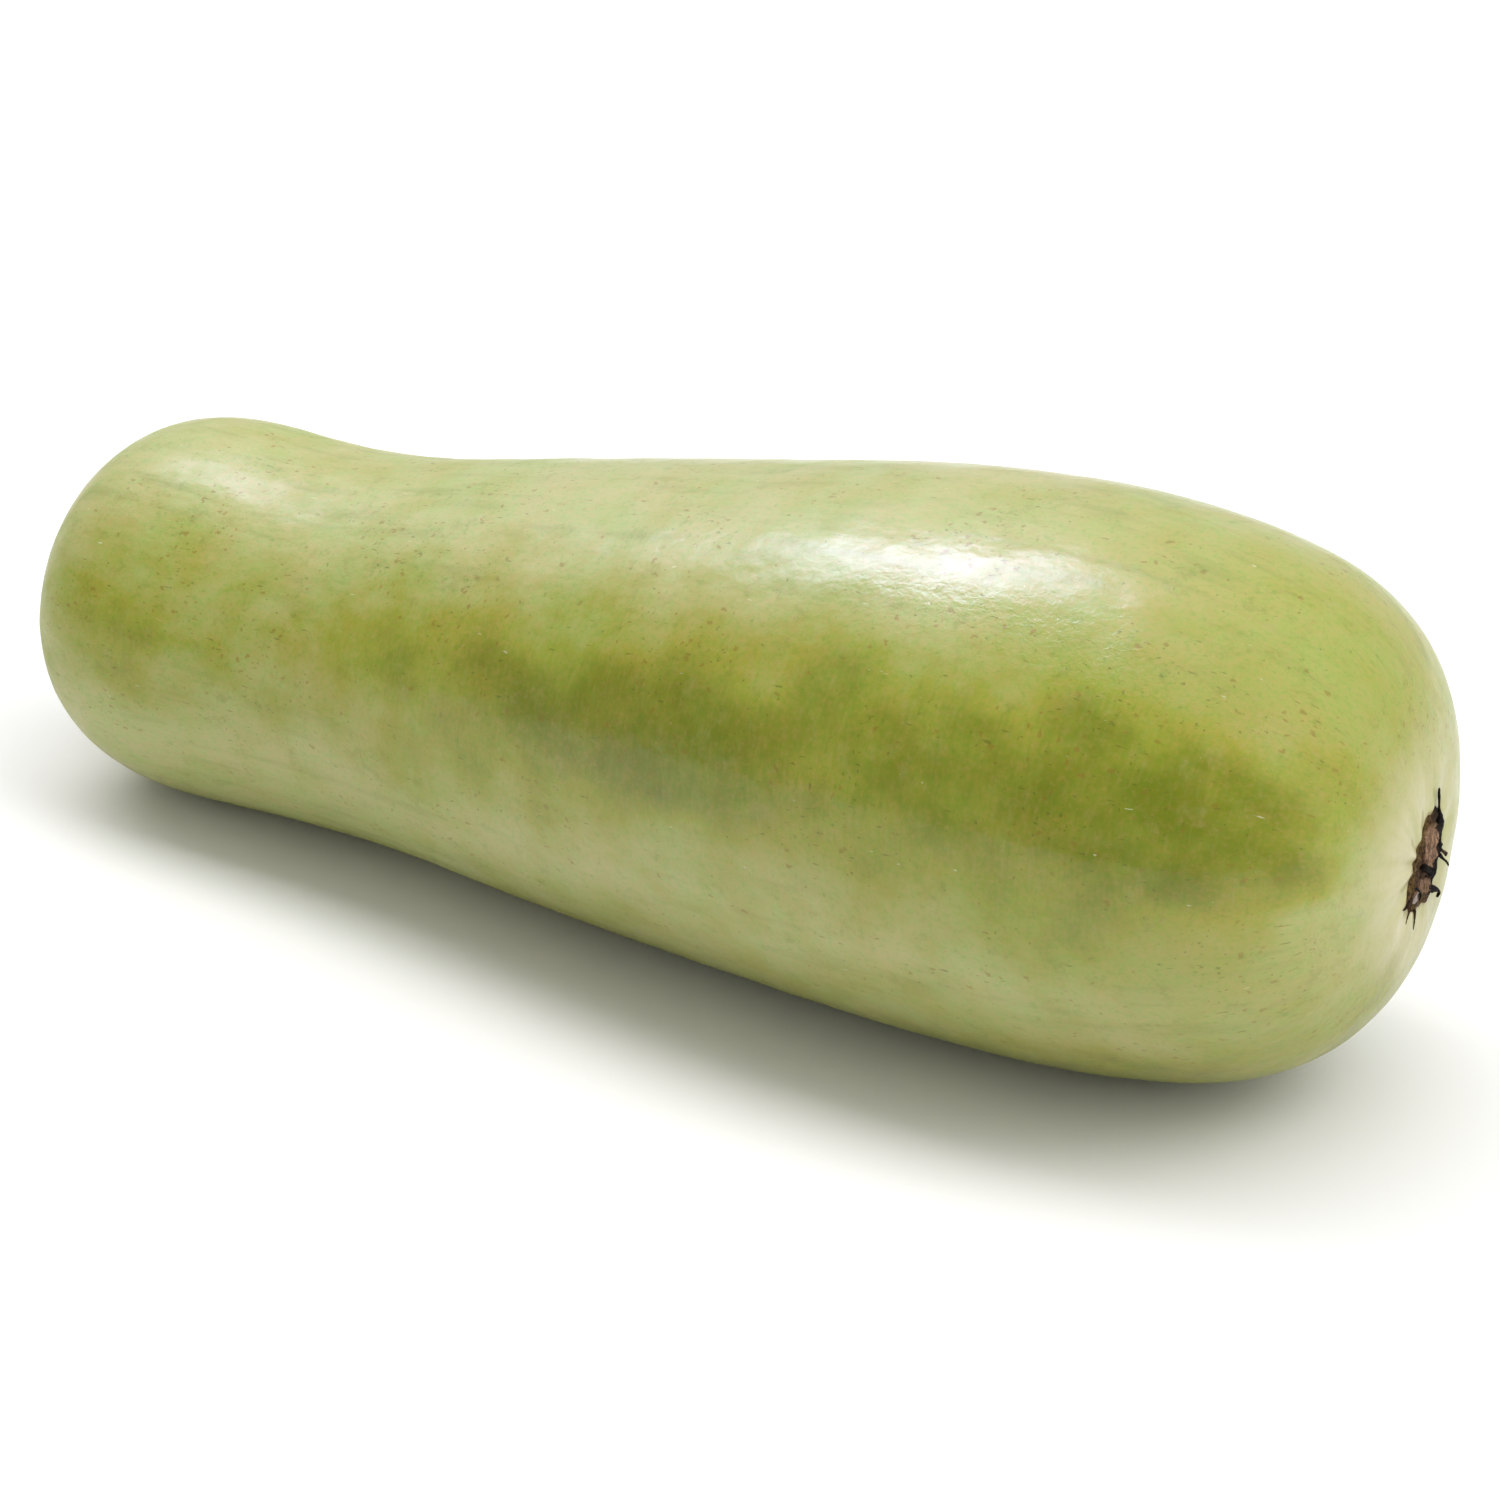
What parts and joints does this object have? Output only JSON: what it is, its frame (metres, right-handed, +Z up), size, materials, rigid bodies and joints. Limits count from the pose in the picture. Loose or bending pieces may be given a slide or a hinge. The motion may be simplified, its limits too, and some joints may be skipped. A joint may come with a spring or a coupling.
{
  "type": "bottle gourd",
  "caption": "Bottle gourd lying on its side: a blunt head at the stem end, a shallow waist, a full rounded blossom end with its dried flower scar, and a short cut stem.",
  "frame": {"origin": "on the ground, under the middle of the gourd's box", "axes": "+X from the stem end to the blossom end, along the gourd's length; +Z up from the ground that it lies on"},
  "size_m": [0.3086, 0.1064, 0.1059],
  "materials": {
    "gourd_skin": "waxy, glossy pale green skin with cloudy darker green mottling and fine brown specks",
    "scar_cork": "dry, matt, fibrous brown cork",
    "stem_stalk": "dry, ribbed green-brown stalk with a paler cut end"
  },
  "bodies": {
    "root": {"gourd_fruit": "gourd_skin", "blossom_scar": "scar_cork", "stem_stub": "stem_stalk"}
  },
  "joints": []
}
